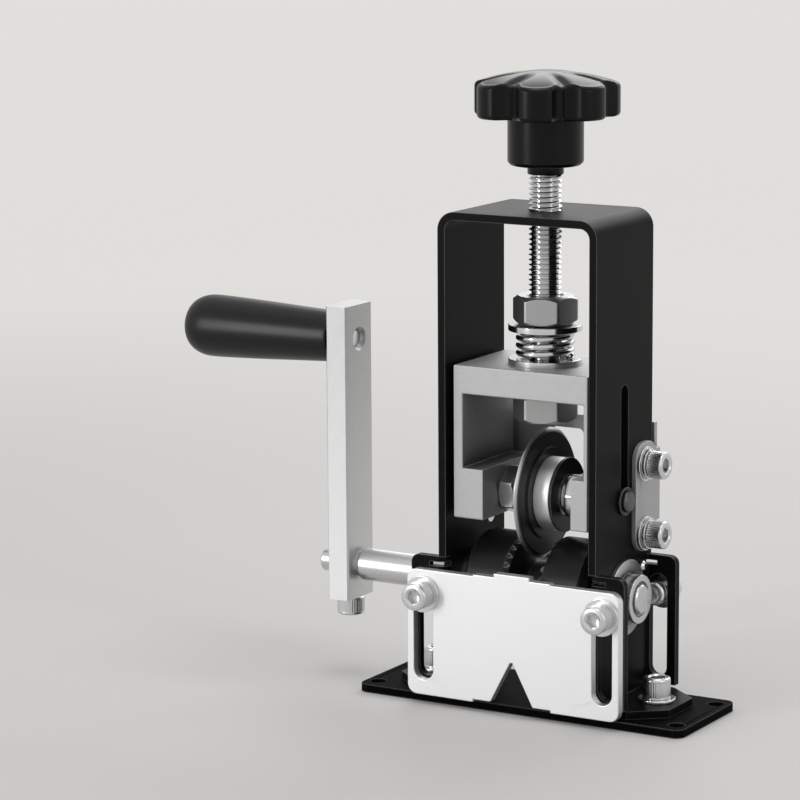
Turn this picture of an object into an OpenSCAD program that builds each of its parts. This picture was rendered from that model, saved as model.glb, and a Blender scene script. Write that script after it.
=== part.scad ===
// Hand-cranked wire stripping machine, in millimetres.
// X runs along the roller shaft with the crank at -X, Y runs toward the back, Z is up.
// The origin is the middle of the underside of the base plate.

/* [Base plate] */
// Length of the base plate along X
base_length = 109; // [104:0.5:130]
// Depth of the base plate along Y
base_depth = 37.4; // [37:0.1:50]
// Thickness of the base plate
base_thick = 2.6; // [2:0.1:4]
// Radius of the base plate corners
base_corner = 3; // [1:0.5:5]
// Diameter of the four mounting holes
mount_hole = 4.8; // [3.5:0.1:5.4]
// Distance between mounting holes along X
mount_pitch_x = 101; // [98:0.5:101]
// Distance between mounting holes along Y
mount_pitch_y = 26.4; // [20:0.2:28]

/* [Side frame] */
// Thickness of the bent sheet
sheet = 2.4; // [2:0.1:3]
// Outside width of the frame
frame_width = 52.6; // [52:0.2:56]
// Depth of the frame legs along Y
frame_depth = 36; // [35:0.2:36.8]
// Height of the top face of the frame
frame_height = 148.6; // [147:0.2:156]
// Outside radius of the two top bends
top_bend = 5.5; // [4:0.5:8]
// Height of the top edge of the flanges
flange_top = 45; // [43:0.5:46]
// Distance that each flange reaches past the leg
flange_out = 9.4; // [9.1:0.1:10.7]
// Width of the long slots in the flanges
flange_slot = 5.8; // [5.4:0.1:6]
// Distance that each foot reaches past the leg
foot_out = 19.1; // [17.7:0.2:19.7]
// Width of the guide slots in the legs
leg_slot = 4.9; // [4.8:0.05:5.4]

/* [Front guide plate] */
// Distance that the front guide plate reaches past each leg
plate_side = 9.2; // [8.2:0.1:10.7]
// Thickness of the front guide plate
plate_thick = 3; // [2:0.1:3.2]
// Height of the top edge of the front guide plate
plate_top = 41.2; // [40:0.2:42]
// Width of the slots in the front guide plate
plate_slot = 6.6; // [5.6:0.1:7]
// Height of the triangular notch above the plate bottom
notch_height = 13.4; // [8:0.2:18]

/* [Drive] */
// Height of the roller shaft above the table
shaft_height = 35; // [34:0.1:36]
// Diameter of the roller shaft
shaft_d = 10; // [9:0.1:10.4]
// Outside diameter of the feed roller
roller_d = 32; // [30:0.2:32.4]
// Length of the feed roller
roller_length = 39; // [36:0.5:39.4]
// Gap between the wheel edge and the bottom of the roller groove at rest
cut_gap = 2; // [1.6:0.1:3]
// Number of serrations on each groove rim
serrations = 32; // [16:1:36]
// Distance from the frame middle to the middle of the crank arm
arm_offset = 68.2; // [64:0.2:74]
// Thickness of the crank arm
arm_thick = 7.5; // [6:0.1:9]
// Width of the crank arm
arm_width = 15; // [14:0.2:18]
// Distance from the shaft to the grip pin
crank_throw = 70.3; // [60:0.5:90]
// Length of the grip
grip_length = 53.5; // [40:0.5:70]
// Largest diameter of the grip
grip_d = 19.4; // [17:0.2:24]

/* [Cutting wheel] */
// Diameter of the cutting wheel
wheel_d = 39; // [37:0.2:39.4]
// Outside diameter of the wheel hub bearing
hub_d = 22; // [19:0.5:24]
// Gap between the roller and the wheel hub at rest
hub_gap = 2; // [1.9:0.1:2.4]

/* [Press block] */
// Gap between the press block and each leg
block_gap = 1.6; // [0.9:0.1:1.9]
// Depth of the press block along Y
block_depth = 31.4; // [28:0.2:34]
// Height of the top of the press block above the wheel axle
block_rise = 39; // [38:0.1:40]
// Thickness of the bridge of the press block
bridge_thick = 8.5; // [7.8:0.1:8.6]

/* [Pressure screw] */
// Diameter of the threaded rod
rod_d = 10; // [9.6:0.1:10]
// Width across the flats of the rod nuts
nut_flats = 17; // [16:0.5:17]
// Outside diameter of the spring washers
washer_d = 22; // [20:0.5:24]
// Outside diameter of the coil spring
spring_d = 17.6; // [16:0.2:19]
// Wire diameter of the coil spring
spring_wire = 1.7; // [1.2:0.1:1.8]
// Number of turns of the coil spring
spring_turns = 3.5; // [2.5:0.5:4]
// Outside diameter of the star knob
knob_d = 43.8; // [38:0.2:50]
// Number of lobes on the knob
knob_lobes = 7; // [5:1:9]

/* [Fasteners] */
// Diameter of the small socket screws
screw_d = 5; // [4.5:0.1:5.2]
// Head diameter of the small socket screws
head_d = 8.2; // [7.6:0.1:8.6]
// Outside diameter of the wide screw washers
wide_washer_d = 11.2; // [10:0.1:11.6]

/* [Hidden] */

e = 0.01;
run = 0.05;
slip = 0.2;
half_w = frame_width / 2;
inner_w = half_w - sheet;
half_d = frame_depth / 2;
bend_in = 0.5;
bend_out = bend_in + sheet;
foot_top = base_thick + sheet;
flange_low = foot_top + 0.6;
flange_reach = half_w + flange_out;
flange_corner = 2.5;
clamp_room = flange_out / 2 - 1;
slot_x = half_w + clamp_room;
slot_low = foot_top + 3;
slot_high = flange_top - 5.6;
relief_z = flange_top - 3;
relief_h = 1.3;
foot_reach = half_w + foot_out;
foot_screw_x = foot_reach - 8;
foot_chamfer_x = 10;
foot_chamfer_y = 8;
foot_side = half_d - bend_out + 0.6;

sleeve_d = shaft_d + 9;
bearing_flange_d = sleeve_d + 3.8;
bearing_flange = 1.4;
tube_d = shaft_d + 4.5;
tube_end = half_w + 5.7;
sleeve_in = half_w - 6.1;
shaft_end = tube_end + 0.8;
lock_d = 2.5;
lock_head_d = 3.2;
lock_turn = 33.6;
lock_reach = bearing_flange_d / 2 + lock_head_d / 2 + slip;
lock_y = lock_reach * cos(lock_turn);
lock_z = shaft_height + lock_reach * sin(lock_turn);
arm_in = arm_offset - arm_thick / 2;
arm_out = arm_offset + arm_thick / 2;
neck_d = 8;
stub_d = 7;
stub_end = arm_out + 5.5;
arm_end = 10.5;
arm_low = shaft_height - arm_end;
arm_high = shaft_height + crank_throw + arm_end;
grip_z = shaft_height + crank_throw;
pin_d = 5;
pin_head_w = 2;
pin_short = 8;
clamp_head_h = 5.6;

axle_height = shaft_height + roller_d / 2 + hub_gap + hub_d / 2;
groove_d = 2 * (axle_height - wheel_d / 2 - cut_gap - shaft_height);
wheel_gap = 0.3;
guide_ear_front = 4.7;
guide_thick = 1.6;
guide_y = wheel_d / 2 + wheel_gap;
guide_low = axle_height - 9;
guide_high = axle_height + 20.3;
ear_low = axle_height - 16.8;
ear_high = axle_height + 16;
ear_round = 5.4;
ear_bend_top = ear_high - 3;
ear_screw_low = axle_height - 11.4;
ear_screw_high = axle_height + 9.6;
ear_screw_y = 10;
window_left = -8.6;
window_right = 2.4;
window_low = axle_height - 5.1;
window_top = axle_height + 16;
window_round = 1.8;
flat_w = 1;
split_w = 1.3;
head_h = 5;
low_head_h = 3;
plate_width = frame_width + 2 * plate_side;
plate_low = base_thick + slip;
clamp_z = plate_top - 7.3;
inner_washer_d = 2 * clamp_room - 1;
low_head_d = 2 * clamp_room - 0.2;
front_nut_flats = 2 * clamp_room - 0.6;
rear_nut_flats = screw_d + 3;
split_washer_d = head_d + 1;
flat_washer_d = head_d + 2.2;
nut_h = 4;

block_half = inner_w - block_gap;
block_top = axle_height + block_rise;
block_low = axle_height - 7;
boss_high = axle_height + 8.2;
left_wall = 3;
right_wall = 1.4;
guide_pin_d = leg_slot - 0.5;
guide_head_d = guide_pin_d + 2;
guide_washer_d = guide_pin_d + 4;
leg_slot_low = axle_height - 4.1;
leg_slot_high = axle_height + 34.6;

axle_d = 8;
axle_flats = axle_d + 5;
axle_head_w = 5.3;
left_boss = 12.5;
disc_left = 0.4;
disc_right = 1.1;
shoulder_right = 1.6;
shoulder_r = hub_d / 2 + 2.7;
hub_w = 5.2;
cover_x = shoulder_right + hub_w;
cover_w = 1;
cover_d = hub_d + 0.4;
thin_washer_w = 0.8;
thin_washer_d = axle_flats - 1.4;
cover_bore = thin_washer_d + 0.8;
thin_washer_x = cover_x + cover_w + slip;
axle_nut_x = thin_washer_x + 2 * thin_washer_w;
axle_nut_w = 6.8;
right_boss = axle_nut_x + axle_nut_w + 0.35;
axle_left = left_boss + 4;
axle_right = right_boss + 3;

nut_height = 8.4;
low_washer_h = 1.7;
spring_low = block_top + low_washer_h;
spring_high = spring_low + 8.3;
up_washer_h = 1.8;
up_nut_z = spring_high + up_washer_h + slip;
bridge_low = block_top - bridge_thick;
low_nut_z = bridge_low - slip - nut_height;
knob_low = frame_height + 10.6;
knob_neck_d = rod_d + 0.7;
knob_hub_d = rod_d + 12.4;
neck_h = 2.6;
hub_h = 14.3;
dome_round = 62;
star_z = knob_low + neck_h + hub_h;
star_h = 9.4;
dome_h = 4;
hex_turn = 19.3;
star_turn = -70;
rod_top = star_z + 2;

// Rounded rectangle centred on the origin
module rounded(w, h, r) {
    for (sx = [-1, 1])
        for (sy = [-1, 1])
            translate([sx * (w / 2 - r), sy * (h / 2 - r)])
                circle(r = r, $fn = 48);
    square([w - 2 * r, h], center = true);
    square([w, h - 2 * r], center = true);
}

// Slot with round ends, from low to high along its second axis
module slot_2d(w, low, high) {
    translate([0, low + w / 2])
        circle(d = w, $fn = 48);
    translate([0, high - w / 2])
        circle(d = w, $fn = 48);
    translate([-w / 2, low + w / 2])
        square([w, high - low - w]);
}

// Turns a drawing in the plane so that it stands in XZ and its thickness runs toward +Y from y0
module stand_xz(y0, thick) {
    translate([0, y0 + thick, 0])
        rotate([90, 0, 0])
            linear_extrude(thick)
                children();
}

// Turns a drawing so that its first axis is Y and its second is Z, thickness toward +X from x0
module stand_yz(x0, thick) {
    translate([x0, 0, 0])
        rotate([90, 0, 90])
            linear_extrude(thick)
                children();
}

// Solid of revolution about the X axis from a drawing of radius against position
module turn_x() {
    rotate([0, 90, 0])
        rotate_extrude($fn = 96)
            children();
}

module tube_z(d_out, d_in, h) {
    difference() {
        cylinder(d = d_out, h = h, $fn = 72);
        translate([0, 0, -1])
            cylinder(d = d_in, h = h + 2, $fn = 72);
    }
}

// Hexagon nut standing on the origin, with both faces chamfered by a cone cut
module hex_nut(flats, h, bore) {
    difference() {
        intersection() {
            cylinder(d = flats / cos(30), h = h, $fn = 6);
            union() {
                cylinder(d1 = flats * 0.95, d2 = flats / cos(30) + 0.1, h = h * 0.16, $fn = 64);
                translate([0, 0, h * 0.16])
                    cylinder(d = flats / cos(30) + 0.1, h = h * 0.68, $fn = 64);
                translate([0, 0, h * 0.84])
                    cylinder(d1 = flats / cos(30) + 0.1, d2 = flats * 0.95, h = h * 0.16, $fn = 64);
            }
        }
        translate([0, 0, -1])
            cylinder(d = bore, h = h + 2, $fn = 64);
    }
}

// Socket head screw: shank below the origin, head above it, with a hexagon socket
module socket_screw(shank, d, d_head, h_head) {
    difference() {
        union() {
            translate([0, 0, -shank])
                cylinder(d = d, h = shank + 1, $fn = 48);
            cylinder(d = d_head, h = h_head - 0.5, $fn = 64);
            translate([0, 0, h_head - 0.5])
                cylinder(d1 = d_head, d2 = d_head - 1, h = 0.5, $fn = 64);
        }
        translate([0, 0, h_head * 0.45])
            cylinder(d = d_head * 0.55, h = h_head, $fn = 6);
    }
}

module base_plate() {
    color("#232323")
        difference() {
            linear_extrude(base_thick)
                rounded(base_length, base_depth, base_corner);
            for (sx = [-1, 1])
                for (sy = [-1, 1])
                    translate([sx * mount_pitch_x / 2, sy * mount_pitch_y / 2, -1])
                        cylinder(d = mount_hole, h = base_thick + 2, $fn = 48);
            for (sx = [-1, 1])
                translate([sx * foot_screw_x, 0, -1])
                    cylinder(d = screw_d, h = base_thick + 2, $fn = 48);
        }
}

// Outline of the upper frame in XZ, an upside-down U with bent corners
module frame_arch() {
    difference() {
        union() {
            translate([-half_w, flange_top])
                square([frame_width, frame_height - flange_top - top_bend]);
            translate([-half_w + top_bend, flange_top])
                square([frame_width - 2 * top_bend, frame_height - flange_top]);
            for (sx = [-1, 1])
                translate([sx * (half_w - top_bend), frame_height - top_bend])
                    circle(r = top_bend, $fn = 64);
        }
        translate([-inner_w, flange_top - 1])
            square([2 * inner_w, frame_height - flange_top - top_bend + 1]);
        translate([-half_w + top_bend, flange_top - 1])
            square([frame_width - 2 * top_bend, frame_height - flange_top - sheet + 1]);
        for (sx = [-1, 1])
            translate([sx * (half_w - top_bend), frame_height - top_bend])
                circle(r = top_bend - sheet, $fn = 64);
    }
}

// Plan of one lower leg with its two flanges bent outward, on the +X side
module leg_plan() {
    difference() {
        union() {
            translate([inner_w, -half_d + bend_out])
                square([sheet, frame_depth - 2 * bend_out]);
            for (sy = [-1, 1]) {
                translate([inner_w + bend_out, sy * (half_d - sheet / 2) - sheet / 2])
                    square([flange_reach - inner_w - bend_out, sheet]);
                translate([inner_w + bend_out, sy * (half_d - bend_out)])
                    intersection() {
                        circle(r = bend_out, $fn = 64);
                        translate([-bend_out - e, sy > 0 ? 0 : -bend_out - e])
                            square([bend_out + e, bend_out + e]);
                    }
            }
        }
        for (sy = [-1, 1])
            translate([inner_w + bend_out, sy * (half_d - bend_out)])
                circle(r = bend_in, $fn = 48);
    }
}

// Outline of a foot on the +X side, with its two outer corners cut off
module foot_plan() {
    polygon([[inner_w + bend_out - e, -foot_side], [foot_reach - foot_chamfer_x, -foot_side],
        [foot_reach, -foot_side + foot_chamfer_y], [foot_reach, foot_side - foot_chamfer_y],
        [foot_reach - foot_chamfer_x, foot_side], [inner_w + bend_out - e, foot_side]]);
}

// Bend between the leg and the foot, seen from the front, on the +X side
module foot_bend() {
    difference() {
        intersection() {
            translate([inner_w + bend_out, base_thick + bend_out])
                circle(r = bend_out, $fn = 64);
            translate([inner_w - e, base_thick - e])
                square([bend_out + e, bend_out + e]);
        }
        translate([inner_w + bend_out, base_thick + bend_out])
            circle(r = bend_in, $fn = 48);
    }
}

module flange_face() {
    difference() {
        union() {
            translate([inner_w + bend_out, flange_low])
                square([flange_reach - inner_w - bend_out, flange_top - flange_low - flange_corner]);
            translate([inner_w + bend_out, flange_top - 3])
                square([flange_reach - inner_w - bend_out - flange_corner, 3]);
            translate([flange_reach - flange_corner, flange_top - flange_corner])
                circle(r = flange_corner, $fn = 48);
        }
        translate([slot_x, 0])
            slot_2d(flange_slot, slot_low, slot_high);
    }
}

// Lower part of one leg: bent flanges, foot and their bends, on the +X side
module lower_leg() {
    intersection() {
        translate([0, 0, flange_low])
            linear_extrude(flange_top - flange_low)
                leg_plan();
        union() {
            translate([0, -50, 0])
                cube([inner_w + bend_out + e, 100, 60]);
            stand_xz(-half_d - 1, frame_depth + 2)
                flange_face();
        }
    }
    translate([inner_w, -foot_side, base_thick + bend_out])
        cube([sheet, 2 * foot_side, flange_low + 1 - base_thick - bend_out]);
    stand_xz(-foot_side, 2 * foot_side)
        foot_bend();
    translate([0, 0, base_thick])
        linear_extrude(sheet)
            foot_plan();
}

module side_frame() {
    color("#1f1f1f")
        difference() {
            union() {
                stand_xz(-half_d, frame_depth)
                    frame_arch();
                for (sx = [0, 1])
                    mirror([sx, 0, 0])
                        lower_leg();
            }
            translate([0, 0, frame_height - sheet - 1])
                cylinder(d = rod_d + 2 * run, h = sheet + 2, $fn = 72);
            for (sx = [-1, 1]) {
                stand_yz(sx > 0 ? inner_w - 1 : -half_w - 1, sheet + 2)
                    slot_2d(leg_slot, leg_slot_low, leg_slot_high);
                translate([sx > 0 ? inner_w - 1 : -half_w - 1, 0, shaft_height])
                    rotate([0, 90, 0])
                        cylinder(d = sleeve_d, h = sheet + 2, $fn = 96);
                for (z = [ear_screw_low, ear_screw_high])
                    translate([sx > 0 ? inner_w - 1 : -half_w - 1, ear_screw_y, z])
                        rotate([0, 90, 0])
                            cylinder(d = screw_d, h = sheet + 2, $fn = 48);
                translate([sx > 0 ? inner_w - 1 : -half_w - 1, lock_y, lock_z])
                    rotate([0, 90, 0])
                        cylinder(d = lock_d, h = sheet + 2, $fn = 32);
                translate([sx * foot_screw_x, 0, base_thick - 1])
                    cylinder(d = screw_d + 0.4, h = sheet + 2, $fn = 48);
                for (sy = [-1, 1])
                    translate([sx * (half_w + 0.2) - 3, sy * (half_d - sheet / 2) - 2, relief_z])
                        cube([6, 4, relief_h]);
            }
        }
}

module foot_screws() {
    color("#c9c9c9")
        for (sx = [-1, 1])
            translate([sx * foot_screw_x, 0, foot_top + flat_w])
                socket_screw(sheet + flat_w + base_thick - 0.3, screw_d, head_d, head_h + 1.2);
}

module foot_washers() {
    color("#bdbdbd")
        for (sx = [-1, 1])
            translate([sx * foot_screw_x, 0, foot_top])
                tube_z(wide_washer_d, screw_d, flat_w);
}

// Flanged bearing on the +X side: flange outside the leg, sleeve through it, tube on the shaft
module bearing() {
    difference() {
        union() {
            translate([sleeve_in, 0, shaft_height])
                rotate([0, 90, 0])
                    cylinder(d = sleeve_d, h = half_w - sleeve_in + e, $fn = 96);
            translate([half_w, 0, shaft_height])
                rotate([0, 90, 0])
                    cylinder(d = bearing_flange_d, h = bearing_flange, $fn = 96);
            translate([half_w, 0, shaft_height])
                rotate([0, 90, 0])
                    cylinder(d = tube_d, h = tube_end - half_w, $fn = 96);
        }
        translate([sleeve_in - 1, 0, shaft_height])
            rotate([0, 90, 0])
                cylinder(d = shaft_d + 2 * run, h = tube_end - sleeve_in + 2, $fn = 96);
    }
}

module bearing_left() {
    color("#bcbcbc")
        mirror([1, 0, 0])
            bearing();
}

module bearing_right() {
    color("#bcbcbc")
        bearing();
}

module bearing_lock_screws() {
    color("#d0d0d0")
        for (sx = [0, 1])
            mirror([sx, 0, 0])
                translate([inner_w + 0.1, lock_y, lock_z])
                    rotate([0, 90, 0])
                        union() {
                            cylinder(d = lock_d, h = sheet, $fn = 32);
                            translate([0, 0, sheet - 0.1])
                                cylinder(d = lock_head_d, h = 1, $fn = 40);
                            translate([0, 0, sheet + 0.9])
                                cylinder(d1 = lock_head_d, d2 = lock_head_d - 1.4, h = 0.7, $fn = 40);
                        }
}

// Plate behind the cutting wheel, bent forward at both ends into ears screwed to the legs
module rear_guide() {
    color("#a9a9a9")
        difference() {
            union() {
                translate([-half_w, guide_y, guide_low])
                    cube([frame_width, guide_thick, guide_high - guide_low]);
                for (sx = [0, 1])
                    mirror([sx, 0, 0]) {
                        stand_yz(half_w, guide_thick)
                            difference() {
                                union() {
                                    translate([(guide_ear_front + half_d) / 2, (ear_low + ear_high) / 2])
                                        rounded(half_d - guide_ear_front, ear_high - ear_low, ear_round);
                                    translate([ear_screw_y, guide_low])
                                        square([guide_y - ear_screw_y + e, ear_bend_top - guide_low]);
                                }
                                for (z = [ear_screw_low, ear_screw_high])
                                    translate([ear_screw_y, z])
                                        circle(d = screw_d + 0.3, $fn = 48);
                            }
                        translate([half_w, guide_y, guide_low])
                            intersection() {
                                cylinder(r = guide_thick, h = ear_bend_top - guide_low, $fn = 48);
                                cube([guide_thick, guide_thick, ear_high - guide_low]);
                            }
                    }
            }
            stand_xz(guide_y - 1, guide_thick + 2)
                translate([(window_left + window_right) / 2, (window_low + window_top) / 2])
                    rounded(window_right - window_left, window_top - window_low, window_round);
        }
}

module rear_guide_screws() {
    color("#c9c9c9")
        for (sx = [0, 1])
            for (z = [ear_screw_low, ear_screw_high])
                mirror([sx, 0, 0])
                    translate([half_w + guide_thick + flat_w + split_w, ear_screw_y, z])
                        rotate([0, 90, 0])
                            socket_screw(guide_thick + flat_w + split_w + sheet - 0.1, screw_d, head_d, head_h);
}

module rear_guide_flat_washers() {
    color("#bdbdbd")
        for (sx = [0, 1])
            for (z = [ear_screw_low, ear_screw_high])
                mirror([sx, 0, 0])
                    translate([half_w + guide_thick, ear_screw_y, z])
                        rotate([0, 90, 0])
                            tube_z(flat_washer_d, screw_d, flat_w);
}

module rear_guide_split_washers() {
    color("#b2b2b2")
        for (sx = [0, 1])
            for (z = [ear_screw_low, ear_screw_high])
                mirror([sx, 0, 0])
                    translate([half_w + guide_thick + flat_w, ear_screw_y, z])
                        rotate([0, 90, 0])
                            difference() {
                                tube_z(split_washer_d, screw_d, split_w);
                                rotate(40)
                                    translate([2, -0.4, -1])
                                        cube([4, 0.8, 4]);
                            }
}

module front_clamp_screws() {
    color("#d8d8d8")
        for (sx = [-1, 1])
            translate([sx * slot_x, -half_d - plate_thick - 2 * run - flat_w, clamp_z])
                rotate([90, 0, 0])
                    socket_screw(plate_thick + 2 * run + flat_w + sheet + nut_h, screw_d, head_d, head_h);
}

module front_clamp_washers() {
    color("#d0d0d0")
        for (sx = [-1, 1])
            translate([sx * slot_x, -half_d - plate_thick - 2 * run, clamp_z])
                rotate([90, 0, 0])
                    tube_z(wide_washer_d, screw_d, flat_w);
}

module front_clamp_nuts() {
    color("#bdbdbd")
        for (sx = [-1, 1])
            translate([sx * slot_x, -half_d + sheet + nut_h, clamp_z])
                rotate([90, 30, 0])
                    hex_nut(front_nut_flats, nut_h, screw_d);
}

module rear_clamp_screws() {
    color("#c9c9c9")
        for (sx = [-1, 1])
            translate([sx * slot_x, half_d - sheet - flat_w, clamp_z])
                rotate([90, 0, 0])
                    socket_screw(sheet + 2 * flat_w + nut_h, screw_d, low_head_d, low_head_h);
}

module rear_clamp_washers() {
    color("#8c8c8c")
        for (sx = [-1, 1]) {
            translate([sx * slot_x, half_d - sheet, clamp_z])
                rotate([90, 0, 0])
                    tube_z(inner_washer_d, screw_d, flat_w);
            translate([sx * slot_x, half_d + flat_w, clamp_z])
                rotate([90, 0, 0])
                    tube_z(wide_washer_d, screw_d, flat_w);
        }
}

module rear_clamp_nuts() {
    color("#8c8c8c")
        for (sx = [-1, 1])
            translate([sx * slot_x, half_d + flat_w + nut_h, clamp_z])
                rotate([90, 0, 0])
                    hex_nut(rear_nut_flats, nut_h, screw_d);
}

// Plate outline: rounded corners, middle lip on top, shallow relief and notch at the bottom
module front_guide_plate() {
    lip = 13;
    lip_h = 0.4;
    tab = 6;
    tab_h = 1.5;
    relief = 0.8;
    notch = 7.6;
    tip = 0.5;
    color("#e3e3e3")
        stand_xz(-half_d - plate_thick - run, plate_thick)
            difference() {
                union() {
                    translate([0, (plate_low + plate_top) / 2])
                        rounded(plate_width, plate_top - plate_low, 3);
                    translate([-lip, plate_top - 1])
                        square([2 * lip, 1 + lip_h]);
                    translate([-tab, plate_top - 1])
                        square([2 * tab, 1 + tab_h]);
                }
                for (sx = [-1, 1])
                    translate([sx * slot_x, 0])
                        slot_2d(plate_slot, plate_low + 4.6, plate_top - 4);
                translate([-lip, plate_low - 1])
                    square([2 * lip, 1 + relief]);
                polygon([[-notch, plate_low - e], [notch, plate_low - e], [tip, plate_low + notch_height],
                    [-tip, plate_low + notch_height]]);
            }
}

module drive_shaft() {
    color("#d4d4d4")
        translate([0, 0, shaft_height])
            rotate([0, 90, 0])
                union() {
                    translate([0, 0, -arm_in + 1.8])
                        cylinder(d = shaft_d, h = shaft_end + arm_in - 2.4, $fn = 72);
                    translate([0, 0, shaft_end - 0.6 - e])
                        cylinder(d1 = shaft_d, d2 = shaft_d - 1.2, h = 0.6, $fn = 72);
                    translate([0, 0, -arm_out])
                        cylinder(d = neck_d, h = arm_thick + 2, $fn = 64);
                    translate([0, 0, -stub_end + 0.6])
                        cylinder(d = stub_d, h = stub_end - arm_out, $fn = 64);
                    translate([0, 0, -stub_end])
                        cylinder(d1 = stub_d - 1.2, d2 = stub_d, h = 0.6, $fn = 64);
                }
}

// Drum with chamfered ends and a middle groove whose rims are serrated
module feed_roller() {
    r = roller_d / 2;
    l = roller_length / 2;
    color("#262626")
        difference() {
            translate([0, 0, shaft_height])
                turn_x()
                    polygon([[shaft_d / 2, -l], [r - 1, -l], [r, -l + 1], [r, -6.6], [r - 0.9, -5.2],
                        [groove_d / 2 + 0.8, -3.4], [groove_d / 2, -2.6], [groove_d / 2, 2.6],
                        [groove_d / 2 + 0.8, 3.4], [r - 0.9, 5.2], [r, 6.6], [r, l - 1], [r - 1, l],
                        [shaft_d / 2, l]]);
            translate([0, 0, shaft_height])
                for (k = [0 : serrations - 1])
                    rotate([k * 360 / serrations, 0, 0])
                        translate([0, 0, r - 0.2])
                            rotate([45, 0, 0])
                                cube([13, 1.1, 1.1], center = true);
        }
}

module crank_arm() {
    color("#c2c2c2")
        difference() {
            translate([-arm_out, -arm_width / 2, arm_low])
                cube([arm_thick, arm_width, arm_high - arm_low]);
            for (sy = [-1, 1])
                translate([-arm_offset, sy * arm_width / 2, (arm_low + arm_high) / 2])
                    for (sx = [-1, 1])
                        translate([sx * arm_thick / 2, 0, 0])
                            rotate([0, 0, 45])
                                cube([0.8, 0.8, arm_high - arm_low + 2], center = true);
            translate([-arm_out - 1, 0, shaft_height])
                rotate([0, 90, 0])
                    cylinder(d = neck_d, h = arm_thick + 2, $fn = 64);
            translate([-arm_out - 1, 0, grip_z])
                rotate([0, 90, 0])
                    cylinder(d = pin_d, h = arm_thick + 2, $fn = 48);
            translate([-arm_in - 1.2, 0, grip_z])
                rotate([0, 90, 0])
                    cylinder(d1 = pin_d - e, d2 = pin_d + 2.4, h = 1.2 + e, $fn = 48);
            translate([-arm_offset, 0, arm_low - 1])
                cylinder(d = screw_d, h = shaft_height - neck_d / 2 - arm_low + 1 + e, $fn = 48);
        }
}

module crank_clamp_screw() {
    color("#cfcfcf")
        translate([-arm_offset, 0, arm_low])
            mirror([0, 0, 1])
                socket_screw(shaft_height - neck_d / 2 - arm_low, screw_d, head_d + 0.3, clamp_head_h);
}

module grip_pin() {
    color("#b5b5b5")
        translate([0, 0, grip_z])
            rotate([0, 90, 0])
                union() {
                    translate([0, 0, -arm_out - grip_length + pin_short])
                        cylinder(d = pin_d, h = grip_length - pin_short + arm_thick - 1.4, $fn = 48);
                    translate([0, 0, -arm_out - grip_length + pin_short])
                        cylinder(d = pin_d + 3, h = pin_head_w, $fn = 48);
                }
}

// Long handle: slim by the arm, fuller outward, rounded end, hollow for the pin and its head
module grip() {
    r = grip_d / 2;
    s = grip_length;
    color("#1c1c1c")
        translate([-arm_out - 0.25, 0, grip_z])
            difference() {
                rotate([0, -90, 0])
                    rotate_extrude($fn = 96)
                        polygon([[0, 0], [r - 2.1, 0], [r - 1.9, 0.4], [r - 1.3, s * 0.25], [r - 0.6, s * 0.5],
                            [r - 0.15, s * 0.72], [r, s * 0.82], [r - 0.1, s * 0.87], [r - 0.8, s * 0.92],
                            [r - 2.1, s * 0.96], [r - 4, s * 0.985], [r - 5.6, s], [0, s]]);
                rotate([0, -90, 0])
                    translate([0, 0, -1])
                        cylinder(d = pin_d + 2 * run, h = s - 9.9 + 1 - 0.25, $fn = 48);
                rotate([0, -90, 0])
                    translate([0, 0, s - 10.4])
                        cylinder(d = pin_d + 3.6, h = 3, $fn = 48);
            }
}

// Star outline: round lobes on a core, cut by round valleys between them
module star_plan(r) {
    rl = r * 0.36;
    difference() {
        union() {
            circle(r = r * 0.8, $fn = 96);
            for (k = [0 : knob_lobes - 1])
                rotate(star_turn + k * 360 / knob_lobes)
                    translate([r - rl, 0])
                        circle(r = rl, $fn = 64);
        }
        for (k = [0 : knob_lobes - 1])
            rotate(star_turn + (k + 0.5) * 360 / knob_lobes)
                translate([r * 1.06, 0])
                    circle(r = r * 0.24, $fn = 48);
    }
}

module knob() {
    color("#1a1a1a")
        difference() {
            union() {
                translate([0, 0, knob_low])
                    cylinder(d = knob_neck_d, h = neck_h + 1, $fn = 72);
                translate([0, 0, knob_low + neck_h])
                    cylinder(d1 = knob_hub_d - 2, d2 = knob_hub_d, h = 1, $fn = 72);
                translate([0, 0, knob_low + neck_h + 1 - e])
                    cylinder(d = knob_hub_d, h = hub_h - 1 + e + 1, $fn = 72);
                intersection() {
                    translate([0, 0, star_z])
                        linear_extrude(star_h + dome_h)
                            star_plan(knob_d / 2);
                    translate([0, 0, star_z + star_h + dome_h - dome_round])
                        sphere(r = dome_round, $fn = 96);
                }
            }
            translate([0, 0, knob_low - 1])
                cylinder(d = rod_d, h = rod_top - knob_low + 1, $fn = 72);
        }
}

module threaded_rod() {
    color("#c6c6c6")
        union() {
            translate([0, 0, low_nut_z + 0.5])
                cylinder(d = rod_d, h = rod_top - low_nut_z - 0.5, $fn = 72);
            translate([0, 0, low_nut_z - 0.1])
                cylinder(d1 = rod_d - 1.2, d2 = rod_d, h = 0.6 + e, $fn = 72);
        }
}

module upper_nut() {
    color("#c9c9c9")
        translate([0, 0, up_nut_z])
            rotate(hex_turn)
                hex_nut(nut_flats, nut_height, rod_d);
}

module lower_nut() {
    color("#c9c9c9")
        translate([0, 0, low_nut_z])
            rotate(hex_turn)
                hex_nut(nut_flats, nut_height, rod_d);
}

module upper_washer() {
    color("#cccccc")
        translate([0, 0, spring_high])
            tube_z(washer_d, rod_d + 2 * run, up_washer_h);
}

module lower_washer() {
    color("#cccccc")
        translate([0, 0, block_top])
            tube_z(washer_d, rod_d + 0.8, low_washer_h);
}

// Point on the skin of the coil: a small circle carried along a helix
function coil_point(k, j, n, m, radius, wire, low, rise) =
    let (a = 360 * spring_turns * k / n)
    let (b = 360 * j / m)
    [(radius + wire * cos(b)) * cos(a), (radius + wire * cos(b)) * sin(a), low + rise * k / n + wire * sin(b)];

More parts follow.
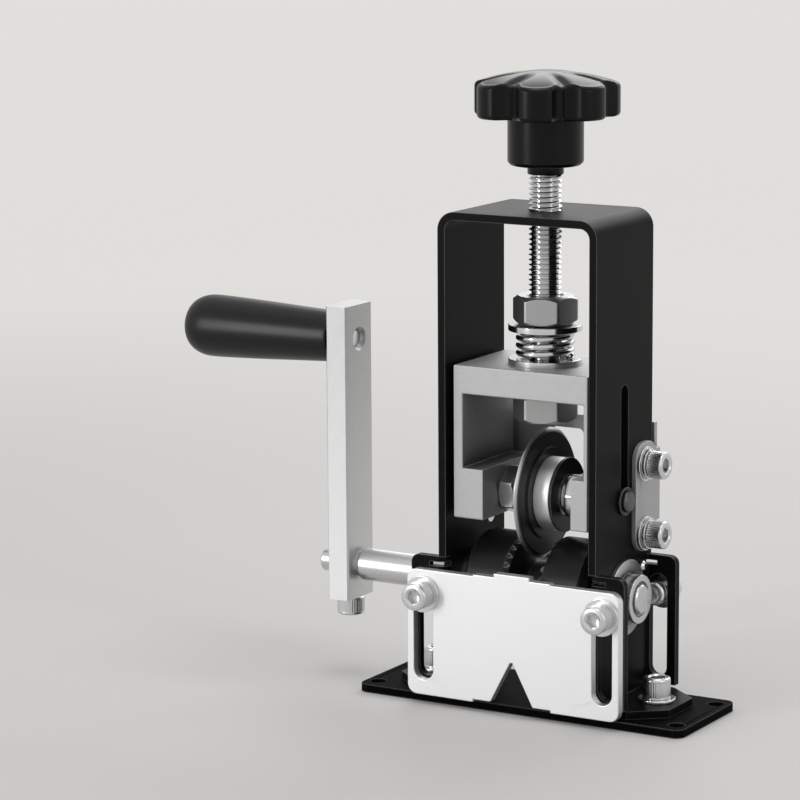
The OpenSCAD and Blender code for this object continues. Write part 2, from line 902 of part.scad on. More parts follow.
module coil_spring() {
    n = 84;
    m = 10;
    wire = spring_wire / 2;
    radius = spring_d / 2 - wire;
    rise = spring_high - spring_low - spring_wire - 0.1;
    low = spring_low + wire + 0.05;
    points = [for (k = [0 : n]) for (j = [0 : m - 1]) coil_point(k, j, n, m, radius, wire, low, rise)];
    sides = [for (k = [0 : n - 1]) for (j = [0 : m - 1])
        [k * m + j, k * m + (j + 1) % m, (k + 1) * m + (j + 1) % m, (k + 1) * m + j]];
    start = [[for (j = [0 : m - 1]) m - 1 - j]];
    finish = [[for (j = [0 : m - 1]) n * m + j]];
    color("#d9d9d9")
        polyhedron(points = points, faces = concat(sides, start, finish), convexity = 8);
}

// Upside-down U with inward bosses low on both legs, bored for the rod and the axle
module slide_block() {
    color("#b4b4b4")
        difference() {
            stand_xz(-block_depth / 2, block_depth)
                union() {
                    translate([-block_half, bridge_low])
                        square([2 * block_half, bridge_thick]);
                    translate([-block_half, block_low])
                        square([left_wall, block_top - block_low - 1]);
                    translate([block_half - right_wall, block_low])
                        square([right_wall, block_top - block_low - 1]);
                    translate([-block_half, block_low])
                        square([block_half - left_boss, boss_high - block_low]);
                    translate([right_boss, block_low])
                        square([block_half - right_boss, boss_high - block_low]);
                }
            translate([0, 0, bridge_low - 1])
                cylinder(d = rod_d + 0.8, h = bridge_thick + 2, $fn = 72);
            translate([-axle_left, 0, axle_height])
                rotate([0, 90, 0])
                    cylinder(d = axle_d, h = axle_left + axle_right, $fn = 64);
            translate([-block_half - 1, 0, axle_height])
                rotate([0, 90, 0])
                    cylinder(d = guide_pin_d, h = 2 * block_half + 2, $fn = 48);
        }
}

// Round headed screws that run in the leg slots, their heads outside the legs
module guide_screws() {
    color("#8f8f8f")
        for (sx = [0, 1])
            mirror([sx, 0, 0])
                translate([0, 0, axle_height])
                    rotate([0, 90, 0])
                        union() {
                            translate([0, 0, axle_right + 0.4])
                                cylinder(d = guide_pin_d, h = half_w + 1 - axle_right, $fn = 48);
                            translate([0, 0, half_w + 0.9])
                                cylinder(d = guide_head_d, h = 0.9, $fn = 56);
                            translate([0, 0, half_w + 1.8 - e])
                                cylinder(d1 = guide_head_d, d2 = guide_head_d - 1.4, h = 0.6, $fn = 56);
                        }
}

module guide_washers() {
    color("#151515")
        for (sx = [0, 1])
            mirror([sx, 0, 0])
                translate([half_w + 0.3, 0, axle_height])
                    rotate([0, 90, 0])
                        tube_z(guide_washer_d, guide_pin_d, 0.6);
}

module wheel_axle() {
    color("#b9b9b9")
        translate([0, 0, axle_height])
            rotate([0, 90, 0])
                union() {
                    translate([0, 0, -axle_left])
                        cylinder(d = axle_d, h = axle_left + axle_right, $fn = 64);
                    translate([0, 0, -left_boss])
                        rotate(8)
                            hex_nut(axle_flats, axle_head_w, axle_d - 2);
                }
}

module axle_nut() {
    color("#d2d2d2")
        translate([axle_nut_x, 0, axle_height])
            rotate([0, 90, 0])
                rotate(22)
                    hex_nut(axle_flats, axle_nut_w, axle_d);
}

module axle_washers() {
    color("#c0c0c0")
        for (k = [0, 1])
            translate([thin_washer_x + k * thin_washer_w, 0, axle_height])
                rotate([0, 90, 0])
                    tube_z(thin_washer_d - 1.2 * k, axle_d, thin_washer_w);
}

module axle_spacer() {
    color("#b9b9b9")
        translate([-left_boss + axle_head_w, 0, axle_height])
            rotate([0, 90, 0])
                tube_z(axle_flats, axle_d, left_boss - axle_head_w - disc_left - slip);
}

// Disc with a ground bevel on the right side, bored to ride on its hub
module cutting_wheel() {
    r = wheel_d / 2;
    color("#3a3a3a")
        translate([0, 0, axle_height])
            turn_x()
                polygon([[axle_d / 2 + run, -disc_left], [r - 3.2, -disc_left], [r, -0.1], [r, 0.15],
                    [r - 1.3, disc_right], [shoulder_r, disc_right], [shoulder_r, shoulder_right],
                    [axle_d / 2 + run, shoulder_right]]);
}

module wheel_hub() {
    color("#c8c8c8")
        translate([shoulder_right, 0, axle_height])
            rotate([0, 90, 0])
                tube_z(hub_d, axle_d + 2 * run, hub_w);
}

module hub_cover() {
    color("#141414")
        translate([cover_x, 0, axle_height])
            rotate([0, 90, 0])
                tube_z(cover_d, cover_bore, cover_w);
}

base_plate();
side_frame();
foot_screws();
foot_washers();
bearing_left();
bearing_right();
bearing_lock_screws();
rear_guide();
rear_guide_screws();
rear_guide_flat_washers();
rear_guide_split_washers();
front_clamp_screws();
front_clamp_washers();
front_clamp_nuts();
rear_clamp_screws();
rear_clamp_washers();
rear_clamp_nuts();
front_guide_plate();
drive_shaft();
feed_roller();
crank_arm();
crank_clamp_screw();
grip_pin();
grip();
knob();
threaded_rod();
upper_nut();
lower_nut();
upper_washer();
coil_spring();
lower_washer();
slide_block();
guide_screws();
guide_washers();
wheel_axle();
axle_nut();
axle_washers();
axle_spacer();
cutting_wheel();
wheel_hub();
hub_cover();
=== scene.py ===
import math

import bpy
import numpy as np
from mathutils import Matrix, Vector


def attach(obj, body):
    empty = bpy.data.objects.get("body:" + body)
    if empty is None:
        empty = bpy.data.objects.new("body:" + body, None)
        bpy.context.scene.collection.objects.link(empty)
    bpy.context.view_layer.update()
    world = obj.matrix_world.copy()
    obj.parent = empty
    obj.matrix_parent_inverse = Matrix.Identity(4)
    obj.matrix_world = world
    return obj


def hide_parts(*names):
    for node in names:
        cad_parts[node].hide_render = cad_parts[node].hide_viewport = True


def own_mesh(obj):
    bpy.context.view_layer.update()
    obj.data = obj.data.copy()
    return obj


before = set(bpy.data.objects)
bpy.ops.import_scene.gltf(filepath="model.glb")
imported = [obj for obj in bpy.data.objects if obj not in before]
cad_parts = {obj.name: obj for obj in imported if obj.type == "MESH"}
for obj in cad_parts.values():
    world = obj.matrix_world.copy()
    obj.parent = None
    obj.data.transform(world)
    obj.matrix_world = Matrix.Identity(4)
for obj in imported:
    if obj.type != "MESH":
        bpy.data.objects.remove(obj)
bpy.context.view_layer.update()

# Lengths in the functions are millimetres, as in the part's source, and pieces are made in metres.
MM = 0.001

# Heights and positions that the pieces share with the part's source
SHAFT_Z = 35.0
AXLE_Z = 64.0
GRIP_Z = 105.3
ARM_MIDDLE = 68.2
ARM_OUT = 71.95
SLOT_X = 30.0
CLAMP_Z = 33.9
FOOT_X, FOOT_Z = 37.4, 5.0
EAR_Y, EAR_HEIGHTS = 10, (52.6, 73.6)
ROD_LOW, ROD_LENGTH, ROD_RADIUS = 85.8, 92.3, 5.0
UPPER_NUT_Z, LOWER_NUT_Z = 115.0, 85.9
UPPER_WASHER_Z, LOWER_WASHER_Z = 113.0, 103.0
SPRING_LOW, SPRING_HIGH = 104.75, 112.95
GUIDE_WASHER_X = 26.6
LOCK_PIN_PLACE = (0, 11.0, 42.3)
CRANK_SCREW_Z = 24.5
GRIP_X, GRIP_PIN_REACH = 72.2, 45.5

# How the lock nuts and the knob's star stand about their own axes
HEX_TURN = math.radians(19.3)
STAR_TURN = math.radians(-70)
LOBES = 7
SIXTH = math.pi / 3

# Turns of a piece drawn about +Z: columns say where its own X, Y and Z go
UPRIGHT = np.eye(3)
TO_RIGHT = np.array([[0, 0, 1], [0, 1, 0], [-1, 0, 0]], float)
TO_LEFT = np.array([[0, 0, -1], [0, 1, 0], [-1, 0, 0]], float)
TO_FRONT = np.array([[1, 0, 0], [0, 0, -1], [0, 1, 0]], float)
DOWNWARD = np.diag([1.0, 1.0, -1.0])
BOTH_SIDES = [(TO_RIGHT, 1), (TO_LEFT, -1)]


# Surfaces: each is (points, quads, triangles)

def eased(corners, ease, closed=False, steps=3):
    """A polyline with its corners eased. Corner C gives way to the points of the quadratic curve
    (1-t)^2 A + 2t(1-t) C + t^2 B, where A and B lie the ease distance back along its two sides,
    and at most 0.45 of a side back."""
    most = 0.45
    c = np.asarray(corners, float)
    to_last, to_next = np.roll(c, 1, 0) - c, np.roll(c, -1, 0) - c
    last_length = np.linalg.norm(to_last, axis=1)[:, None]
    next_length = np.linalg.norm(to_next, axis=1)[:, None]
    width = np.broadcast_to(np.asarray(ease, float), len(c))[:, None]
    a = c + to_last / last_length * np.minimum(width, most * last_length)
    b = c + to_next / next_length * np.minimum(width, most * next_length)
    t = np.linspace(0, 1, steps + 1)[None, :, None]
    curve = (1 - t) ** 2 * a[:, None] + 2 * t * (1 - t) * c[:, None] + t ** 2 * b[:, None]
    curve = curve.reshape(-1, c.shape[1])
    if closed:
        return curve
    inner = curve[steps + 1:-(steps + 1)]
    return np.vstack([c[:1], inner, c[-1:]])


def filled(profile, longest, closed=False):
    """The same polyline with points added on its long sides, so that no side is longer than given."""
    p = np.vstack([profile, profile[:1]]) if closed else np.asarray(profile, float)
    length = np.concatenate([[0], np.cumsum(np.linalg.norm(np.diff(p[:, :2], axis=0), axis=1))])
    stations = np.union1d(length, np.arange(0, length[-1], longest))
    if closed:
        stations = stations[stations < length[-1] - 1e-6]
    return np.stack([np.interp(stations, length, p[:, k]) for k in range(p.shape[1])], 1)


def weld(points, quads):
    """Points that fall together, within a twenty-thousandth of a millimetre, get one number, and a
    quad with a repeated corner becomes a triangle."""
    grid = 2e4
    keys = np.round(points * grid).astype(np.int64)
    _, first, number = np.unique(keys, axis=0, return_index=True, return_inverse=True)
    quads = number.reshape(-1)[quads]
    same = quads == np.roll(quads, -1, axis=1)
    repeats = same.sum(axis=1)
    triangles = quads[repeats == 1][~same[repeats == 1]].reshape(-1, 3)
    return points[first], quads[repeats == 0], triangles


def outward(surface):
    """Turns the faces round where the volume, the sum of a . (b x c) / 6 over the triangles, is
    negative."""
    points, quads, triangles = surface
    fans = np.vstack([quads[:, [0, 1, 2]], quads[:, [0, 2, 3]], triangles])
    a, b, c = points[fans[:, 0]], points[fans[:, 1]], points[fans[:, 2]]
    if np.einsum("ij,ij->", a, np.cross(b, c)) < 0:
        quads, triangles = quads[:, ::-1], triangles[:, ::-1]
    return points, quads, triangles


def skin(rings, closed=False):
    """Joins every ring of points to the next one with quads, and the last to the first where the
    section is closed. A ring that shrinks to a point closes the surface there."""
    rows, count, _ = rings.shape
    number = np.arange(rows * count).reshape(rows, count)
    here = number if closed else number[:-1]
    there = np.roll(number, -1, 0) if closed else number[1:]
    quads = np.stack([here, np.roll(here, -1, 1), np.roll(there, -1, 1), there], -1).reshape(-1, 4)
    return outward(weld(rings.reshape(-1, 3), quads))


def around(rho, angle, z):
    """Points at radius rho, angle and height z about +Z: (rho cos a, rho sin a, z)."""
    return np.stack([rho * np.cos(angle), rho * np.sin(angle), z], -1)


def turned(profile, count=96, closed=False, shape=None):
    """A profile of (radius, height) turned about +Z: the point at angle a is (rho cos a, rho sin a, z),
    with rho the profile's radius, or what shape(radius, height, angle) makes of it."""
    angle = (np.arange(count) * 2 * math.pi / count)[None, :]
    radius, height = profile[:, :1], profile[:, 1:2]
    rho = radius + 0 * angle if shape is None else shape(radius, height, angle)
    return skin(around(rho, angle, np.broadcast_to(height, rho.shape)), closed)


def placed(surface, turn=UPRIGHT, shift=(0, 0, 0), spin=0.0):
    """Spins a surface about its own Z, turns it with a matrix and shifts it."""
    points, quads, triangles = surface
    c, s = math.cos(spin), math.sin(spin)
    spun = points @ np.array([[c, s, 0], [-s, c, 0], [0, 0, 1]])
    return outward((spun @ turn.T + np.asarray(shift, float), quads, triangles))


def washer(outer, inner, height, ease=0.18):
    """A ring of rectangular section with eased edges, from 0 up to its height."""
    corners = [(inner, 0), (outer, 0), (outer, height), (inner, height)]
    return turned(eased(corners, ease, closed=True), closed=True)


def split_washer(outer, inner, height):
    """A ring cut through once, its section carried along an arc that climbs a little from one end
    of the cut to the other."""
    climb, stations, half_gap = 0.14, 80, math.radians(5)
    corners = [(inner, 0), (outer, 0), (outer, height - climb), (inner, height - climb)]
    section = eased(corners, 0.15, closed=True)
    middle = section.mean(0)
    sizes = np.concatenate([[0], np.ones(stations), [0]])[:, None, None]
    sections = middle + (section[None] - middle) * sizes
    arc = np.linspace(half_gap, 2 * math.pi - half_gap, stations)
    arc = np.concatenate([arc[:1], arc, arc[-1:]])[:, None]
    return skin(around(sections[..., 0], arc, sections[..., 1] + climb * arc / (2 * math.pi)))


def from_flat(angle):
    """The angle from the middle of a hexagon's nearest flat."""
    return angle % SIXTH - SIXTH / 2


def hex_nut(flats, height, bore):
    """A nut: rho is the smallest of the profile's radius, the hexagon (flats / 2) / cos(w), where w
    is the angle from the middle of the nearest flat, and the blunted corner radius. The profile's
    cone at both ends gives the curved edges of the chamfer."""
    corner = flats / 2 / math.cos(math.pi / 6)
    blunted = corner - 0.1
    cone = height * 0.16
    face = flats * 0.475
    wall = corner + 0.05
    lead = 0.5
    profile = [(bore, lead), (bore + lead, 0), (face, 0), (wall, cone), (wall, height - cone),
               (face, height), (bore + lead, height), (bore, height - lead)]

    def shape(radius, z, angle):
        hexagon = flats / 2 / np.cos(from_flat(angle))
        return np.minimum(radius, np.minimum(hexagon, blunted))

    rows = filled(eased(profile, 0.06, closed=True, steps=2), 0.16, closed=True)
    return turned(rows, 6 * 24, closed=True, shape=shape)


def socket_screw(shank, diameter, head, height, knurls=36):
    """A socket head screw: shank below 0, head above. Rows carry a kind: plain is round, knurled
    loses 0.1 times a raised cosine of the angle, and socket is the hexagon, where rho is the corner
    radius times cos 30 / cos w."""
    plain, knurled, socket = 0, 1, 2
    r, d = head / 2, diameter / 2
    inner = head * 0.275
    floor = height * 0.45
    rows = np.array([
        (0, -shank, plain), (d - 0.5, -shank, plain), (d, 0.5 - shank, plain), (d, 0, plain),
        (r - 0.2, 0, plain), (r, 0.2, plain), (r, 0.5, plain),
        (r, 0.6, knurled), (r, height - 1.0, knurled),
        (r, height - 0.9, plain), (r, height - 0.55, plain), (r - 0.14, height - 0.2, plain),
        (r - 0.5, height, plain), (inner + 0.35, height, plain), (inner + 0.1, height - 0.22, plain),
        (inner, height - 0.35, socket), (inner, floor, socket), (0.01, floor - 0.4, socket),
        (0, floor - 0.4, plain)], float)
    kind = rows[:, 2:]

    def shape(radius, z, angle):
        groove = 0.05 * (1 + np.cos(knurls * angle))
        hexagon = radius * math.cos(math.pi / 6) / np.cos(from_flat(angle))
        rounded = np.where(kind == socket, hexagon, radius + 0 * angle)
        return np.where(kind == knurled, radius - groove, rounded)

    return turned(rows[:, :2], 6 * knurls, shape=shape)


def threaded(length, radius, pitch=1.5, depth=0.92, chamfer=1.2):
    """A right-hand thread: at height z and angle a the phase is z / pitch - a / 2 pi, and rho is the
    radius less the depth times a clipped triangle wave of the phase. Both ends taper."""
    rows_a_turn, columns, flank, crest = 10, 48, 1.3, 0.15
    z = np.concatenate([[0], np.arange(0, length, pitch / rows_a_turn), [length, length]])
    angle = np.arange(columns) * 2 * math.pi / columns
    phase = (z[:, None] / pitch - angle[None, :] / (2 * math.pi)) % 1
    wave = np.clip(np.abs(2 * phase - 1) * flank - crest, 0, 1)
    rho = radius - depth * wave
    taper = radius - chamfer + np.minimum(z, length - z)
    rho = np.minimum(rho, taper[:, None])
    rho[[0, -1]] = 0
    return skin(around(rho, angle, np.broadcast_to(z[:, None], rho.shape)))


def coil(radius, rod, turns, low, high):
    """A round section of radius rod carried along a helix: the centre line climbs evenly but for
    flatter first and last half turns, and the section lies across it. The ends close to a point."""
    stations, columns, window = 260, 20, 25
    share = np.linspace(0, 1, stations)
    angle = share * turns * 2 * math.pi
    climb = np.interp(share * turns, [0, 0.5, turns - 0.5, turns], [0, 0.06, 0.94, 1])
    climb = np.pad(climb, window // 2, mode="edge")
    climb = np.convolve(climb, np.ones(window) / window, mode="valid")
    sizes = np.concatenate([[0, 0.7], np.ones(stations - 4), [0.7, 0]])[:, None]
    section = (np.arange(columns) * 2 * math.pi / columns)[None, :]
    reach = radius + rod * sizes * np.cos(section)
    rise = (low + rod + (high - low - 2 * rod) * climb)[:, None]
    return skin(around(reach, angle[:, None], rise + rod * sizes * np.sin(section)))


def from_valley(angle):
    """The angle from the middle of the knob's nearest valley between two lobes."""
    step = 2 * math.pi / LOBES
    return (angle - STAR_TURN) % step - step / 2


def star_outline(angle, radius):
    """Outline of the knob: in each lobe the far side of a circle of 0.36 radius, in each valley the
    near side of a circle of 0.24 radius, and the two joined by the smooth least,
    -log(exp(-k a) + exp(-k b)) / k."""
    step = 2 * math.pi / LOBES
    from_lobe = (angle - STAR_TURN + step / 2) % step - step / 2
    lobe, centre = 0.36 * radius, 0.64 * radius
    inside = np.maximum(lobe ** 2 - (centre * np.sin(from_lobe)) ** 2, 0)
    far = centre * np.cos(from_lobe) + np.sqrt(inside)
    far = np.maximum(far, 0.8 * radius)
    dent, away = 0.24 * radius, 1.06 * radius
    valley = from_valley(angle)
    reach = dent ** 2 - (away * np.sin(valley)) ** 2
    near = away * np.cos(valley) - np.sqrt(np.maximum(reach, 0))
    near = np.where(reach > 0, near, 2 * radius)
    k = 3.0
    return -np.log(np.exp(-k * (far - radius)) + np.exp(-k * (near - radius))) / k + radius


def star_knob(radius=21.9):
    """A knob of neck, hub and star. Each row has a share f, a round radius, an inset and a height:
    rho = (1 - f) round + f (outline - inset). Above the wall the height follows the dome
    127.5 + sqrt(62^2 - rho^2), less a crease of up to 1.2 mm along each valley, whose depth falls off
    as exp(-(d / 1.7)^2) with the distance d across from the valley's middle."""
    count = LOBES * 72
    angle = np.arange(count) * 2 * math.pi / count
    outline = star_outline(angle, radius)
    valley = from_valley(angle)
    dome_low, dome_radius, crease_depth, crease_width = 127.5, 62.0, 1.2, 1.7
    foot_z, foot_round, foot_rows = 177.4, 1.3, 6
    edge, rim_rows, cap_rows = 1.7, 9, 30

    def dome(rho):
        across = rho * np.sin(valley)
        ramp = np.clip((rho - 4) / 10, 0, 1)
        crease = crease_depth * ramp * ramp * (3 - 2 * ramp) * np.exp(-(across / crease_width) ** 2)
        return dome_low + np.sqrt(dome_radius ** 2 - rho ** 2) - crease

    below = np.array([
        (0, 0, 0, 178.1), (0, 5.0, 0, 178.1), (0, 5.0, 0, 159.3), (0, 5.05, 0, 159.2),
        (0, 5.25, 0, 159.2), (0, 5.35, 0, 159.35), (0, 5.35, 0, 161.8), (0, 9.9, 0, 161.8),
        (0, 10.35, 0, 161.95), (0, 11.05, 0, 162.7), (0, 11.2, 0, 163.1), (0, 11.2, 0, 175.2),
        (0, 11.3, 0, 175.8), (0.04, 11.5, 1.3, 176.1), (0.35, 11.5, 1.3, 176.1),
        (0.7, 11.5, 1.3, 176.1), (1, 11.5, 1.3, 176.1)])
    bend = np.linspace(0, math.pi / 2, foot_rows + 1)[1:]
    foot = np.stack([np.ones(foot_rows), 0 * bend, foot_round * (1 - np.sin(bend)),
                     foot_z - foot_round * np.cos(bend)], 1)
    share, plain, inset, height = (np.vstack([below, foot])[:, k:k + 1] for k in range(4))
    rho = (1 - share) * plain + share * (outline - inset)
    z = height + 0 * rho
    bend = np.linspace(0, math.pi / 2, rim_rows)[:, None]
    rim_rho = outline - edge * (1 - np.cos(bend))
    rim_z = dome(outline - edge) - edge * (1 - np.sin(bend))
    cap_rho = (outline - edge) * np.linspace(1, 0, cap_rows)[1:, None]
    return skin(around(np.vstack([rho, rim_rho, cap_rho]), angle,
                       np.vstack([z, rim_z, dome(cap_rho)])))


def serrated_roller(radius=16.0, half=19.5, groove=7.5, bore=5.0, notches=32):
    """A drum with a middle groove. On the groove's rims rho is never past a V notch, whose floor is
    at radius 15.02 and whose sides rise as fast as the arc from the notch's middle."""
    floor, reach, rim, row = 15.02, 6.5, groove + 0.8, 0.62
    side = [(bore, half), (radius - 1, half), (radius, half - 1), (radius, 6.6), (radius - 0.9, 5.2),
            (rim, 3.4), (groove, 2.6)]
    profile = np.array(side + [(r, -x) for r, x in side[::-1]])
    rows = filled(eased(profile, 0.25, closed=True), row, closed=True)

    def shape(r, x, angle):
        step = 2 * math.pi / notches
        arc = np.abs((angle + step / 2) % step - step / 2) * radius
        notch = np.where(np.abs(x) < reach, floor + arc, 2 * radius)
        return np.minimum(r, np.maximum(notch, np.minimum(r, rim)))

    return turned(rows, 12 * notches, closed=True, shape=shape)


def grip_surface(radius=9.7, length=53.5, bore=2.55):
    """The handle turned from its bore to its rounded end, with the wall's corners eased into one
    curve."""
    r, s = radius, length
    wall = eased([(r - 2.1, 0), (r - 1.9, 0.5), (r - 1.3, s * 0.25), (r - 0.6, s * 0.5),
                  (r - 0.15, s * 0.72), (r, s * 0.82), (r - 0.1, s * 0.87), (r - 0.8, s * 0.92),
                  (r - 2.1, s * 0.96), (r - 4.0, s * 0.985), (r - 5.9, s), (0, s)], 9, steps=6)
    inside = [(0, s - 10), (bore, s - 10), (bore, 0.2), (bore + 0.2, 0)]
    return turned(np.vstack([inside, wall]), 128)


# Pieces

def make_piece(name, surfaces, body, slot, stands_for, sharp=40, finish=None):
    """Puts surfaces in millimetres into one mesh in metres, marks the edges sharper than an angle,
    keeps large faces flat with weighted normals, and rides the piece on its body in place of its CAD
    nodes. Its material is that of its slot, or another finish where one is given."""
    start, points, loops, sizes = 0, [], [], []
    for own_points, quads, triangles in surfaces:
        points.append(own_points)
        loops += [(quads + start).ravel(), (triangles + start).ravel()]
        sizes += [np.full(len(quads), 4), np.full(len(triangles), 3)]
        start += len(own_points)
    points, loops, sizes = np.vstack(points) * MM, np.concatenate(loops), np.concatenate(sizes)
    mesh = bpy.data.meshes.new(name)
    mesh.vertices.add(len(points))
    mesh.vertices.foreach_set("co", points.astype(np.float32).ravel())
    mesh.loops.add(len(loops))
    mesh.loops.foreach_set("vertex_index", loops.astype(np.int32))
    mesh.polygons.add(len(sizes))
    mesh.polygons.foreach_set("loop_start", (np.cumsum(sizes) - sizes).astype(np.int32))
    mesh.update(calc_edges=True)
    mesh.polygons.foreach_set("use_smooth", np.ones(len(sizes), bool))
    mesh.set_sharp_from_angle(angle=math.radians(sharp))
    piece = bpy.data.objects.new(name, mesh)
    bpy.context.scene.collection.objects.link(piece)
    keep_flat(piece)
    mesh.materials.append(materials[finish or slot])
    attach(piece, body)
    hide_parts(*stands_for)
    return piece


def keep_flat(piece):
    """Weighted normals, which keep the large faces of a piece flat beside its eased edges."""
    even = piece.modifiers.new("even_faces", "WEIGHTED_NORMAL")
    even.keep_sharp = True


def finish_node(name, finish, ease):
    """Gives a CAD node its material, and weld and bevel modifiers that round its edges by the ease
    in millimetres."""
    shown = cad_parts[name]
    for place in shown.material_slots:
        place.material = materials[finish]
    merge_distance, segments, sharp_from = 0.000002, 2, math.radians(40)
    joined = shown.modifiers.new("join_faces", "WELD")
    joined.merge_threshold = merge_distance
    edge = shown.modifiers.new("eased_edges", "BEVEL")
    edge.width, edge.segments = ease * MM, segments
    edge.limit_method, edge.angle_limit = "ANGLE", sharp_from
    edge.harden_normals = False
    keep_flat(shown)


# Shader nodes and groups

def feed(tree, socket, value):
    """Links an input socket to another socket, or sets it to a value."""
    if isinstance(value, bpy.types.NodeSocket):
        tree.links.new(value, socket)
    else:
        socket.default_value = value


def add_node(tree, kind, inputs=None, **settings):
    """A shader node with its settings and its named inputs, each a socket or a value."""
    made = tree.nodes.new(kind)
    for key, value in settings.items():
        setattr(made, key, value)
    for key, value in (inputs or {}).items():
        feed(tree, made.inputs[key], value)
    return made


def maths(tree, operation, a, b=0.0, c=0.0, clamp=False):
    """The result of a Math node on up to three numbers, each a socket or a value."""
    made = add_node(tree, "ShaderNodeMath", {0: a, 1: b, 2: c}, operation=operation)
    made.use_clamp = clamp
    return made.outputs[0]


def spread(tree, value, low, high):
    """A value from 0 to 1 spread between low and high."""
    return maths(tree, "MULTIPLY_ADD", value, high - low, low)


def gray(level):
    """The colour of a grey level from 0 to 1."""
    return (level, level, level, 1)


def blend(tree, factor, low, high):
    """Mixes two colours, each a socket or a value, by a factor from 0 to 1."""
    mixed = add_node(tree, "ShaderNodeMix", {0: factor}, data_type="RGBA")
    colors = [socket for socket in mixed.inputs if socket.type == "RGBA"]
    for socket, value in zip(colors, (low, high)):
        feed(tree, socket, value)
    return [socket for socket in mixed.outputs if socket.type == "RGBA"][0]


def own_place(tree):
    """The place on the piece, in metres from the part's origin."""
    return add_node(tree, "ShaderNodeTexCoord").outputs["Object"]


def new_group(name, inputs, outputs):
    """A node group with named sockets: inputs and outputs are (label, kind, value)."""
    tree = bpy.data.node_groups.new(name, "ShaderNodeTree")
    for label, kind, value in inputs:
        tree.interface.new_socket(name=label, in_out="INPUT", socket_type=kind).default_value = value
    for label, kind in outputs:
        tree.interface.new_socket(name=label, in_out="OUTPUT", socket_type=kind)
    return tree, tree.nodes.new("NodeGroupInput").outputs, tree.nodes.new("NodeGroupOutput").inputs


FLOAT, COLOR, VECTOR = "NodeSocketFloat", "NodeSocketColor", "NodeSocketVector"


def build_wear_and_edge_highlight():
    """Rubbed edges and painted edge highlights: one less the product of the face's normal and the
    normal rounded over a radius, broken up by noise, mixes the colour towards the edge colour, which
    stands for bare metal on worn edges and for painted highlight on the black coats."""
    tree, given, result = new_group("edge wear and painted edge highlight", [
        ("Color", COLOR, (0.5, 0.5, 0.5, 1)), ("Edge Color", COLOR, (0.8, 0.8, 0.8, 1)),
        ("Radius", FLOAT, 0.0005), ("Amount", FLOAT, 4.0), ("Breakup Scale", FLOAT, 400.0)],
        [("Color", COLOR), ("Mask", FLOAT)])
    rounded = add_node(tree, "ShaderNodeBevel", {"Radius": given["Radius"]}, samples=6).outputs[0]
    face = add_node(tree, "ShaderNodeNewGeometry").outputs["True Normal"]
    dot = add_node(tree, "ShaderNodeVectorMath", {0: rounded, 1: face}, operation="DOT_PRODUCT")
    bent = maths(tree, "SUBTRACT", 1.0, dot.outputs["Value"])
    edge = maths(tree, "MULTIPLY", bent, given["Amount"])
    noise = add_node(tree, "ShaderNodeTexNoise", {
        "Vector": own_place(tree), "Scale": given["Breakup Scale"], "Detail": 3.0}).outputs[0]
    broken = maths(tree, "MULTIPLY_ADD", noise, 0.9, 0.5)
    mask = maths(tree, "MULTIPLY", edge, broken, clamp=True)
    tree.links.new(blend(tree, mask, given["Color"], given["Edge Color"]), result["Color"])
    tree.links.new(mask, result["Mask"])
    return tree


def build_grain():
    """Brushed or rolled grain: noise stretched by a scale along each axis gives a tone about 0.5 and
    a height."""
    tree, given, result = new_group("stretched grain", [
        ("Scale", VECTOR, (300, 300, 30)), ("Contrast", FLOAT, 1.0)],
        [("Tone", FLOAT), ("Height", FLOAT)])
    stretched = add_node(tree, "ShaderNodeVectorMath", {0: own_place(tree), 1: given["Scale"]},
                         operation="MULTIPLY").outputs[0]
    noise = add_node(tree, "ShaderNodeTexNoise", {
        "Vector": stretched, "Scale": 1.0, "Detail": 4.0, "Roughness": 0.65}).outputs[0]
    centred = maths(tree, "SUBTRACT", noise, 0.5)
    tone = maths(tree, "MULTIPLY_ADD", centred, given["Contrast"], 0.5, clamp=True)
    tree.links.new(tone, result["Tone"])
    tree.links.new(noise, result["Height"])
    return tree


def build_coat():
    """Powder coat: a fine dimpled height from smooth cells, and a slow drift of the gloss."""
    tree, given, result = new_group("powder coat", [
        ("Scale", FLOAT, 1500.0), ("Drift Scale", FLOAT, 30.0)],
        [("Height", FLOAT), ("Drift", FLOAT)])
    place = own_place(tree)
    for scale, detail, output in (("Scale", 2.0, "Height"), ("Drift Scale", 3.0, "Drift")):
        noise = add_node(tree, "ShaderNodeTexNoise", {
            "Vector": place, "Scale": given[scale], "Detail": detail}).outputs[0]
        tree.links.new(noise, result[output])
    return tree


def build_turning():
    """Turning marks: the sine of the distance from an axis over the pitch, with the axis given by a
    centre and by weights of 0 along it and 1 across it."""
    tree, given, result = new_group("turning marks", [
        ("Centre", VECTOR, (0, 0, 0)), ("Across", VECTOR, (0, 1, 1)), ("Pitch", FLOAT, 0.0003)],
        [("Height", FLOAT), ("Distance", FLOAT)])
    away = add_node(tree, "ShaderNodeVectorMath", {0: own_place(tree), 1: given["Centre"]},
                    operation="SUBTRACT").outputs[0]
    across = add_node(tree, "ShaderNodeVectorMath", {0: away, 1: given["Across"]},
                      operation="MULTIPLY").outputs[0]
    distance = add_node(tree, "ShaderNodeVectorMath", {0: across},
                        operation="LENGTH").outputs["Value"]
    turns = maths(tree, "DIVIDE", distance, given["Pitch"])
    wave = maths(tree, "SINE", maths(tree, "MULTIPLY", turns, 2 * math.pi))
    tree.links.new(wave, result["Height"])
    tree.links.new(distance, result["Distance"])
    return tree


